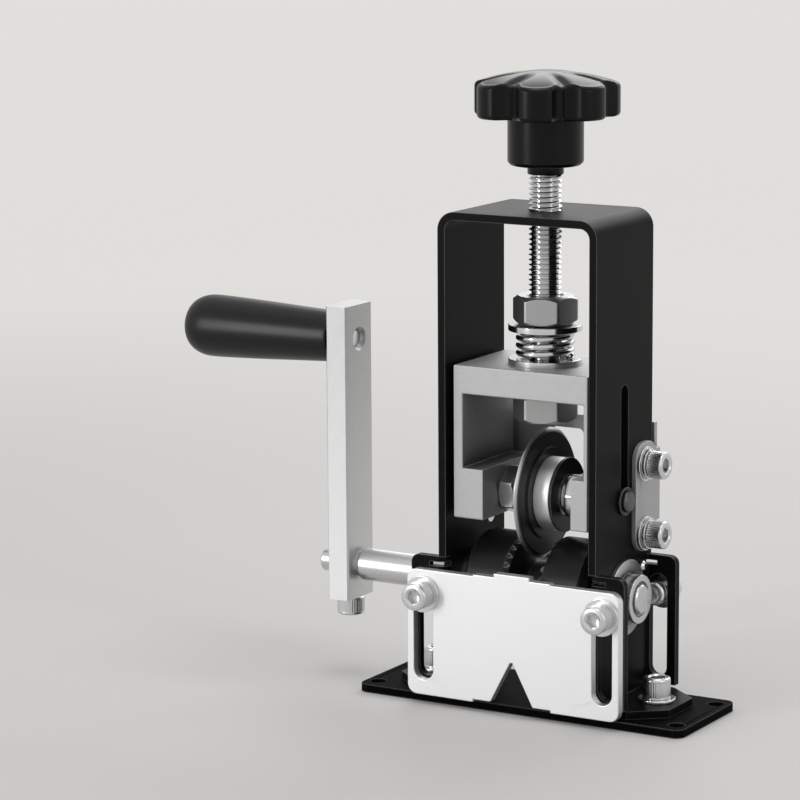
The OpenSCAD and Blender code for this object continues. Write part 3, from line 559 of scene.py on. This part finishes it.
def build_recess_shade():
    """Painted shade in recesses: one less the share of open space that a point of the piece sees of
    itself within a distance, times an amount."""
    tree, given, result = new_group("painted recess shade", [
        ("Distance", FLOAT, 0.06), ("Amount", FLOAT, 1.0)], [("Mask", FLOAT)])
    open_share = add_node(tree, "ShaderNodeAmbientOcclusion", {"Distance": given["Distance"]},
                          samples=8, only_local=True).outputs["AO"]
    closed_share = maths(tree, "SUBTRACT", 1.0, open_share)
    mask = maths(tree, "MULTIPLY", closed_share, given["Amount"], clamp=True)
    tree.links.new(mask, result["Mask"])
    return tree


groups = {"wear_and_highlight": build_wear_and_edge_highlight(), "grain": build_grain(), "coat": build_coat(),
          "turning": build_turning(), "recess_shade": build_recess_shade()}


def use_group(tree, key, inputs):
    """The outputs of a node group in a material, fed with its named inputs."""
    return add_node(tree, "ShaderNodeGroup", inputs, node_tree=groups[key]).outputs


# Materials: colours are grey levels, roughness is (from, to), and bump depths are in metres

# Reach of the painted recess shade, and the grey levels of painted shade: in the block's recesses, on
# the crank arm's upper end and in the bearing's gap ring
WIDE_RECESS, NARROW_RECESS = 0.06, 0.003
BLOCK_RECESS_SHADE, TOP_SHADE_TONE, BEARING_GAP_SHADE = 0.015, 0.02, 0.01
GROUND_FROM, GROUND_TO = 0.0186, 0.0191


def new_material(name):
    """A material with its node tree and the inputs of its Principled shader."""
    made = bpy.data.materials.new(name)
    made.use_nodes = True
    return made, made.node_tree, made.node_tree.nodes["Principled BSDF"].inputs


def dress(tree, inputs, color, roughness, height, depth):
    """Links a colour, a roughness and a bump of some depth to the Principled shader."""
    tree.links.new(color, inputs["Base Color"])
    tree.links.new(roughness, inputs["Roughness"])
    bump = add_node(tree, "ShaderNodeBump", {"Height": height, "Distance": depth, "Strength": 1.0})
    tree.links.new(bump.outputs[0], inputs["Normal"])


def coated(name, level, edge, roughness, fineness, depth, wear_and_highlight, shine):
    """Painted, oxidised or moulded black: a fine dimpled bump, drifting gloss and edges lightened
    partly by rubbing and partly as painted highlight. The shine is the strength of the surface's
    reflection, 0.5 for a plain varnish."""
    made, tree, inputs = new_material(name)
    coat = use_group(tree, "coat", {"Scale": fineness, "Drift Scale": 35.0})
    # painted highlight: the edge colour lightens the edges of the black coats, partly as rubbed wear
    worn_and_highlit = use_group(tree, "wear_and_highlight", {"Color": gray(level), "Edge Color": gray(edge), "Radius": 0.0004,
                                    "Amount": wear_and_highlight, "Breakup Scale": 500.0})
    dress(tree, inputs, worn_and_highlit["Color"], spread(tree, coat["Drift"], *roughness), coat["Height"], depth)
    inputs["Specular IOR Level"].default_value = shine
    return made


def brushed(name, level, edge, roughness, stretch, depth, tone, painted_recess_shade=0.0, painted_top_shade=None):
    """Bare metal with a grain along its length: the grain moves the roughness and the colour a
    little. Painted shade darkens its recesses, and the top shade argument, (low height, high height,
    shaded share), darkens its upper end with painted shade."""
    made, tree, inputs = new_material(name)
    grain = use_group(tree, "grain", {"Scale": stretch, "Contrast": 1.6})
    shade = blend(tree, grain["Tone"], gray(level * (1 - tone)), gray(level))
    # painted shade: recesses darkened toward a dark grey
    if painted_recess_shade:
        recess_shade = use_group(tree, "recess_shade", {"Distance": WIDE_RECESS, "Amount": painted_recess_shade})
        shade = blend(tree, recess_shade["Mask"], shade, gray(BLOCK_RECESS_SHADE))
    # painted shade: the upper end darkened toward a dark grey, standing in for how the light falls
    if painted_top_shade:
        height = add_node(tree, "ShaderNodeSeparateXYZ", {0: own_place(tree)}).outputs["Z"]
        top_shade = add_node(tree, "ShaderNodeMapRange", {
            "Value": height, "From Min": painted_top_shade[0], "From Max": painted_top_shade[1], "To Max": painted_top_shade[2]})
        shade = blend(tree, top_shade.outputs[0], shade, gray(TOP_SHADE_TONE))
    worn_and_highlit = use_group(tree, "wear_and_highlight", {"Color": shade, "Edge Color": gray(edge), "Radius": 0.0003,
                                    "Amount": 3.0, "Breakup Scale": 700.0})
    rough_low, rough_high = roughness
    dress(tree, inputs, worn_and_highlit["Color"], spread(tree, grain["Tone"], rough_high, rough_low),
          grain["Height"], depth)
    inputs["Metallic"].default_value = 1.0
    return made


def machined(name, level, roughness, centre, across, pitch, depth, painted_recess_shade=0.0):
    """Turned metal: fine rings about its axis, with a drift of the gloss. Painted shade darkens its
    recesses and narrow gaps."""
    made, tree, inputs = new_material(name)
    rings = use_group(tree, "turning", {"Centre": centre, "Across": across, "Pitch": pitch})
    coat = use_group(tree, "coat", {"Scale": 900.0, "Drift Scale": 120.0})
    color = gray(level)
    # painted shade: narrow recesses, such as the bearing's gap ring, darkened toward a dark grey
    if painted_recess_shade:
        recess_shade = use_group(tree, "recess_shade", {"Distance": NARROW_RECESS, "Amount": painted_recess_shade})
        color = blend(tree, recess_shade["Mask"], color, gray(BEARING_GAP_SHADE))
    worn_and_highlit = use_group(tree, "wear_and_highlight", {"Color": color, "Edge Color": gray(0.9), "Radius": 0.0002,
                                    "Amount": 2.0, "Breakup Scale": 900.0})
    dress(tree, inputs, worn_and_highlit["Color"], spread(tree, coat["Drift"], *roughness), rings["Height"], depth)
    inputs["Metallic"].default_value = 1.0
    return made


def ground_wheel(name):
    """Gunmetal disc whose outer bevel is ground bright: the distance from the axle picks the metal."""
    made, tree, inputs = new_material(name)
    rings = use_group(tree, "turning", {"Centre": AXLE_LINE, "Across": ABOUT_X, "Pitch": 0.00035})
    ground = add_node(tree, "ShaderNodeMapRange", {
        "Value": rings["Distance"], "From Min": GROUND_FROM, "From Max": GROUND_TO}).outputs[0]
    dress(tree, inputs, blend(tree, ground, gray(0.06), gray(0.55)), spread(tree, ground, 0.44, 0.36),
          rings["Height"], 0.000004)
    inputs["Metallic"].default_value = 1.0
    return made


SHAFT_LINE, AXLE_LINE, ROD_LINE = (0, 0, SHAFT_Z * MM), (0, 0, AXLE_Z * MM), (0, 0, 0)
ABOUT_X, ABOUT_Z, ABOUT_POINT = (0, 1, 1), (1, 1, 0), (1, 1, 1)

materials = {
    # name, level, edge colour (partly painted edge highlight), roughness, fineness, depth,
    # wear_and_highlight, shine
    # the edge colours of the black coats are painted edge highlights; on black oxide steel they are
    # partly bare ground rims
    "black_coat": coated("black powder coat", 0.005, 0.22, (0.32, 0.44), 2200.0, 0.00002, 3.0, 0.06),
    "base_coat": coated("black base coat", 0.003, 0.40, (0.52, 0.62), 2200.0, 0.00002, 3.5, 0.012),
    "black_steel": coated("black oxide steel", 0.009, 0.55, (0.28, 0.42), 2600.0, 0.00001, 5.0, 0.22),
    "black_plastic": coated("moulded black plastic", 0.003, 0.02, (0.26, 0.34), 1800.0, 0.00001, 1.0,
                            0.17),
    "grip_plastic": coated("satin grip plastic", 0.003, 0.02, (0.30, 0.38), 1800.0, 0.00001, 1.0,
                           0.34),
    # name, level, edge, roughness, stretch, depth, tone
    # painted shade darkens the block's recesses
    "block_alloy": brushed("blasted block alloy", 0.50, 0.80, (0.52, 0.62), (1500, 1500, 1500),
                           0.00001, 0.06, painted_recess_shade=1.2),
    "bright_plate": brushed("bright sheet alloy", 0.88, 0.95, (0.46, 0.52), (400, 900, 900),
                            0.000002, 0.02),
    # painted shade: the crank bar darker toward its upper end
    "arm_alloy": brushed("crank bar alloy", 0.80, 0.95, (0.42, 0.50), (900, 900, 200),
                         0.000004, 0.04, painted_top_shade=(0.03, 0.11, 0.35)),
    "nut_steel": brushed("blasted nut steel", 0.50, 0.80, (0.34, 0.46), (2500, 2500, 2500),
                         0.000008, 0.16),
    # name, level, roughness, centre, across, pitch, depth
    "satin_hub": machined("satin hub steel", 0.95, (0.48, 0.56), AXLE_LINE, ABOUT_X, 0.0004, 0.000003),
    "dark_pin": machined("dark plated pin", 0.12, (0.32, 0.42), AXLE_LINE, ABOUT_X, 0.0004, 0.000003),
    "zinc_screws": machined("zinc plate", 0.72, (0.20, 0.32), AXLE_LINE, ABOUT_POINT, 0.0007,
                            0.000002),
    # painted shade darkens the bearing's gap ring
    "bearing_steel": machined("turned bearing steel", 0.66, (0.22, 0.34), SHAFT_LINE, ABOUT_X, 0.0003,
                              0.000004, painted_recess_shade=2.2),
    "polished_steel": machined("polished steel", 0.70, (0.12, 0.22), ROD_LINE, ABOUT_Z, 0.0005,
                               0.000002),
    "wheel_steel": ground_wheel("ground wheel steel"),
}

for name, finish, ease in (("base_plate", "base_coat", 0.3), ("side_frame", "black_coat", 0.3),
                           ("front_guide_plate", "bright_plate", 0.25),
                           ("rear_guide", "block_alloy", 0.2), ("slide_block", "block_alloy", 0.35),
                           ("crank_arm", "arm_alloy", 0.15)):
    finish_node(name, finish, ease)


def on_rod(surface, z, spin=0.0):
    """A surface on the pressure screw's line, from the height z upward."""
    return placed(surface, shift=(0, 0, z), spin=spin)


def on_axle(surface, x=0.0, spin=0.0):
    """A surface on the wheel's axle, from x to the right."""
    return placed(surface, TO_RIGHT, (x, 0, AXLE_Z), spin)


def at_feet(surface, z):
    """A surface on each foot, from the height z upward."""
    return [placed(surface, shift=(x, 0, z)) for x in (-FOOT_X, FOOT_X)]


def at_ears(surface, out, spin=0.0):
    """A surface at the four screws of the rear guide's ears, so far out from the middle."""
    return [placed(surface, turn, (side * out, EAR_Y, z), spin)
            for turn, side in BOTH_SIDES for z in EAR_HEIGHTS]


def at_clamps(surface, y, spin=0.0):
    """A surface on the line of each clamp screw, from y toward the front."""
    return [placed(surface, TO_FRONT, (x, y, CLAMP_Z), spin) for x in (-SLOT_X, SLOT_X)]


# Knob, pressure screw, nuts, washers and spring
lock_nut = hex_nut(17, 8.4, ROD_RADIUS)
make_piece("star_knob", [star_knob()], "pressure_screw", "black_plastic", ["knob"], sharp=50)
make_piece("pressure_thread", [on_rod(threaded(ROD_LENGTH, ROD_RADIUS), ROD_LOW)], "pressure_screw",
           "polished_steel", ["threaded_rod"], sharp=80)
make_piece("upper_lock_nut", [on_rod(lock_nut, UPPER_NUT_Z, HEX_TURN)], "pressure_screw",
           "polished_steel", ["upper_nut"], finish="nut_steel")
make_piece("lower_lock_nut", [on_rod(lock_nut, LOWER_NUT_Z, HEX_TURN)], "pressure_screw",
           "polished_steel", ["lower_nut"], finish="nut_steel")
make_piece("upper_spring_washer", [on_rod(washer(11, 5.05, 1.8), UPPER_WASHER_Z)],
           "pressure_collar", "polished_steel", ["upper_washer"])
make_piece("lower_spring_washer", [on_rod(washer(11, 5.4, 1.7), LOWER_WASHER_Z)],
           "press", "polished_steel", ["lower_washer"])
spring = make_piece("pressure_spring", [coil(7.95, 0.85, 3.5, SPRING_LOW, SPRING_HIGH)], "press",
                    "polished_steel", ["coil_spring"], sharp=60)
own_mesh(spring)

# Cutting wheel and its axle. Profiles are (radius, place along the axis).
wheel_profile = eased([(4.05, -0.4), (16.3, -0.4), (19.5, -0.1), (19.5, 0.15), (18.2, 1.1),
                       (13.7, 1.1), (13.7, 1.6), (4.05, 1.6)], 0.08, closed=True)
make_piece("slitting_wheel", [on_axle(turned(wheel_profile, 160, closed=True))],
           "wheel", "wheel_steel", ["cutting_wheel"], sharp=25)
make_piece("wheel_bearing", [on_axle(washer(11, 4.05, 5.2, 0.35), 1.6)],
           "wheel", "polished_steel", ["wheel_hub"], finish="satin_hub")
make_piece("wheel_seal", [on_axle(washer(11.2, 6.2, 1.0, 0.25), 6.8)],
           "wheel", "black_steel", ["hub_cover"])
axle_profile = eased([(0, -16.5), (4.0, -16.5), (4.0, 19.75), (0, 19.75)], 0.4)
make_piece("wheel_bolt", [on_axle(turned(axle_profile)),
                          on_axle(hex_nut(13, 5.3, 3.9), -12.5, math.radians(8))],
           "press", "zinc_screws", ["wheel_axle"])
make_piece("axle_lock_nut", [on_axle(hex_nut(13, 6.8, 4.0), 9.6, math.radians(22))],
           "press", "polished_steel", ["axle_nut"])
make_piece("axle_thin_washers", [on_axle(washer(5.8, 4.0, 0.8, 0.2), 8.0),
                                 on_axle(washer(5.2, 4.0, 0.8, 0.2), 8.8)],
           "press", "polished_steel", ["axle_washers"])
make_piece("axle_sleeve", [on_axle(washer(6.5, 4.0, 6.6, 0.3), -7.2)],
           "press", "zinc_screws", ["axle_spacer"])
pin_profile = eased([(0, 20.15), (2.2, 20.15), (2.2, 27.2), (3.2, 27.2), (3.2, 28.1), (2.5, 28.7),
                     (0, 28.7)], 0.25)
make_piece("slot_pins", [placed(turned(pin_profile), turn, (0, 0, AXLE_Z)) for turn, _ in BOTH_SIDES],
           "press", "zinc_screws", ["guide_screws"], finish="dark_pin")
slot_washer = washer(4.2, 2.2, 0.6, 0.15)
make_piece("slot_washers", [placed(slot_washer, turn, (side * GUIDE_WASHER_X, 0, AXLE_Z))
                            for turn, side in BOTH_SIDES], "press", "black_steel", ["guide_washers"])

# Roller, shaft, bearings and crank
make_piece("serrated_roller", [placed(serrated_roller(), TO_RIGHT, (0, 0, SHAFT_Z))], "drive",
           "black_steel", ["feed_roller"], sharp=30)
shaft_profile = eased([(0, -77.45), (2.9, -77.45), (3.5, -76.85), (3.5, -71.95), (4.0, -71.95),
                       (4.0, -62.65), (5.0, -62.65), (5.0, 30.9), (4.4, 31.2), (4.4, 32.3),
                       (3.9, 32.8), (0, 32.8)], 0.15)
make_piece("roller_shaft", [placed(turned(shaft_profile), TO_RIGHT, (0, 0, SHAFT_Z))], "drive",
           "bearing_steel", ["drive_shaft"])
bearing_profile = eased([(5.05, 20.2), (9.5, 20.2), (9.5, 26.3), (11.4, 26.3), (11.4, 27.7),
                         (7.25, 27.7), (7.25, 32.0), (5.3, 32.0), (5.3, 31.0), (5.05, 30.8)], 0.2,
                        closed=True)
for name, node, turn in (("right_bearing", "bearing_right", TO_RIGHT),
                         ("left_bearing", "bearing_left", TO_LEFT)):
    make_piece(name, [placed(turned(bearing_profile, closed=True), turn, (0, 0, SHAFT_Z))], "frame",
               "bearing_steel", [node])
lock_profile = eased([(0, 24.0), (1.25, 24.0), (1.25, 26.3), (1.6, 26.3), (1.6, 27.3), (0.9, 28.0),
                      (0, 28.0)], 0.15)
make_piece("bearing_lock_pins", [placed(turned(lock_profile, 48), turn, LOCK_PIN_PLACE)
                                 for turn, _ in BOTH_SIDES],
           "frame", "zinc_screws", ["bearing_lock_screws"])
make_piece("crank_grip_handle", [placed(grip_surface(), TO_LEFT, (-GRIP_X, 0, GRIP_Z))], "crank_grip",
           "black_plastic", ["grip"], sharp=60, finish="grip_plastic")
pin = eased([(0, 0), (4.0, 0), (4.0, 2.0), (2.5, 2.0), (2.5, 51.6), (0, 51.6)], 0.3)
make_piece("crank_grip_pin", [placed(turned(pin), TO_RIGHT, (-ARM_OUT - GRIP_PIN_REACH, 0, GRIP_Z))],
           "drive", "zinc_screws", ["grip_pin"])
make_piece("crank_end_screw", [placed(socket_screw(6.5, 5, 8.5, 5.6), DOWNWARD,
                                      (-ARM_MIDDLE, 0, CRANK_SCREW_Z))],
           "drive", "zinc_screws", ["crank_clamp_screw"])

# Screws, washers and nuts that hold the feet, the rear guide's ears, the plate and the flanges
flange_washers = [placed(washer(r, 2.5, 1.0), TO_FRONT, (x, y, CLAMP_Z))
                  for x in (-SLOT_X, SLOT_X) for r, y in ((3.2, 15.6), (5.6, 19.0))]
for name, surfaces, node in (
        ("foot_socket_screws", at_feet(socket_screw(5.7, 5, 8.2, 6.2), FOOT_Z + 1), "foot_screws"),
        ("foot_flat_washers", at_feet(washer(5.6, 2.5, 1.0), FOOT_Z), "foot_washers"),
        ("ear_socket_screws", at_ears(socket_screw(6.2, 5, 8.2, 5), 30.2), "rear_guide_screws"),
        ("ear_flat_washers", at_ears(washer(5.2, 2.5, 1.0), 27.9), "rear_guide_flat_washers"),
        ("ear_spring_washers", at_ears(split_washer(4.6, 2.5, 1.3), 28.9, 0.9),
         "rear_guide_split_washers"),
        ("plate_socket_screws", at_clamps(socket_screw(10.4, 5, 8.2, 5), -22.1, 0.3),
         "front_clamp_screws"),
        ("plate_flat_washers", at_clamps(washer(5.6, 2.5, 1.0), -21.1), "front_clamp_washers"),
        ("plate_nuts", at_clamps(hex_nut(6.8, 4, 2.5), -11.6, math.pi / 6), "front_clamp_nuts"),
        ("flange_socket_screws", at_clamps(socket_screw(8.4, 5, 7.2, 3), 14.6), "rear_clamp_screws"),
        ("flange_flat_washers", flange_washers, "rear_clamp_washers"),
        ("flange_nuts", at_clamps(hex_nut(8, 4, 2.5), 23.0), "rear_clamp_nuts")):
    make_piece(name, surfaces, "frame", "zinc_screws", [node])


# Floor, light and camera, in metres

FLOOR_COLOR = (0.72, 0.71, 0.69, 1)
FLOOR_GLOW = (0.70, 0.69, 0.67, 1)
FLOOR_Z = -0.00003
GLOW_FROM, GLOW_FULL = 0.3, 0.9
SKY_COLOR = (0.98, 0.98, 1.0, 1)
SKY_LIGHT, SKY_SEEN = 0.38, 0.75
AIM = (0, 0, 0.09)
PHOTO_PIXELS, FOCAL_PIXELS, SENSOR_WIDTH = 800, 3432.416, 36.0
CAMERA_TURN = (30.80203, 10.36055, 0.36785)
CAMERA_PLACE = (0.47499, -0.88079, 0.27491)

LAMPS = {
    # name: place, width, height, power
    "key_light": ((-0.62, -1.05, 0.34), 0.18, 0.6, 4.0),
    "side_light": ((0.95, -0.25, 0.45), 0.3, 0.6, 0.9),
    "back_light": ((-0.15, 0.95, 0.68), 1.0, 0.5, 4.0),
    "top_light": ((0.0, 0.0, 1.1), 0.6, 0.6, 3.2),
}


def seen_rays(tree):
    """1 for rays from the camera and for reflected and transmitted rays, 0 for scattered light."""
    rays = add_node(tree, "ShaderNodeLightPath").outputs
    mirrored = maths(tree, "MAXIMUM", rays["Is Glossy Ray"], rays["Is Transmission Ray"])
    return maths(tree, "MAXIMUM", rays["Is Camera Ray"], mirrored)


def pale_floor(half=6.0, count=13):
    """A level square grid just below the part's underside. From 0.3 to 0.9 m out its lit colour
    gives way to an even pale glow, seen by the camera and in reflections, so that the background
    stays plain and the floor near the part keeps the shadow."""
    line = np.linspace(-half, half, count)
    x, y = np.meshgrid(line, line)
    points = np.stack([x, y, np.full_like(x, FLOOR_Z)], -1).reshape(-1, 3)
    number = np.arange(count * count).reshape(count, count)
    corners = [number[:-1, :-1], number[:-1, 1:], number[1:, 1:], number[1:, :-1]]
    quads = np.stack(corners, -1).reshape(-1, 4)
    mesh = bpy.data.meshes.new("pale_floor")
    mesh.from_pydata(points.tolist(), [], quads.tolist())
    floor = bpy.data.objects.new("pale_floor", mesh)
    bpy.context.scene.collection.objects.link(floor)
    made, tree, inputs = new_material("plain pale floor")
    drift = use_group(tree, "coat", {"Scale": 60.0, "Drift Scale": 2.0})["Drift"]
    tree.links.new(spread(tree, drift, 0.62, 0.68), inputs["Roughness"])
    away = add_node(tree, "ShaderNodeVectorMath", {0: own_place(tree)},
                    operation="LENGTH").outputs["Value"]
    far = add_node(tree, "ShaderNodeMapRange", {
        "Value": away, "From Min": GLOW_FROM, "From Max": GLOW_FULL},
        interpolation_type="SMOOTHSTEP").outputs[0]
    glow = maths(tree, "MULTIPLY", far, seen_rays(tree))
    tree.links.new(blend(tree, glow, FLOOR_COLOR, gray(0)), inputs["Base Color"])
    inputs["Emission Color"].default_value = FLOOR_GLOW
    tree.links.new(glow, inputs["Emission Strength"])
    inputs["Specular IOR Level"].default_value = 0.1
    mesh.materials.append(made)


def soft_light(name, place, width, height, power):
    """A rectangular lamp at a place, facing the middle of the part."""
    lamp = bpy.data.lights.new(name, "AREA")
    lamp.shape, lamp.size, lamp.size_y, lamp.energy = "RECTANGLE", width, height, power
    made = bpy.data.objects.new(name, lamp)
    bpy.context.scene.collection.objects.link(made)
    made.location = place
    made.rotation_mode = "QUATERNION"
    made.rotation_quaternion = (Vector(AIM) - Vector(place)).to_track_quat("-Z", "Y")


def camera_matrix(azimuth, elevation, roll):
    """Rows right, up and back of a camera that looks at the part from the azimuth and elevation,
    then turned about its line of sight by the roll."""
    a, e, r = (math.radians(v) for v in (azimuth, elevation, roll))
    back = np.array([math.sin(a) * math.cos(e), -math.cos(a) * math.cos(e), math.sin(e)])
    right = np.array([math.cos(a), math.sin(a), 0.0])
    up = np.cross(back, right)
    return np.array([math.cos(r) * right - math.sin(r) * up,
                     math.sin(r) * right + math.cos(r) * up, back])


pale_floor()
for name, (place, width, height, power) in LAMPS.items():
    soft_light(name, place, width, height, power)

scene = bpy.context.scene
scene.world = bpy.data.worlds.new("pale studio")
scene.world.use_nodes = True
sky = scene.world.node_tree
background = sky.nodes["Background"].inputs
background["Color"].default_value = SKY_COLOR
sky.links.new(spread(sky, seen_rays(sky), SKY_LIGHT, SKY_SEEN), background["Strength"])
scene.view_settings.view_transform = "Standard"

lens = bpy.data.cameras.new("photo_camera")
lens.sensor_width = SENSOR_WIDTH
lens.lens = FOCAL_PIXELS / PHOTO_PIXELS * SENSOR_WIDTH
lens.clip_start, lens.clip_end = 0.02, 40.0
camera = bpy.data.objects.new("photo_camera", lens)
scene.collection.objects.link(camera)
placing = np.eye(4)
placing[:3, :3] = camera_matrix(*CAMERA_TURN).T
placing[:3, 3] = CAMERA_PLACE
camera.matrix_world = Matrix(placing.tolist())
scene.camera = camera
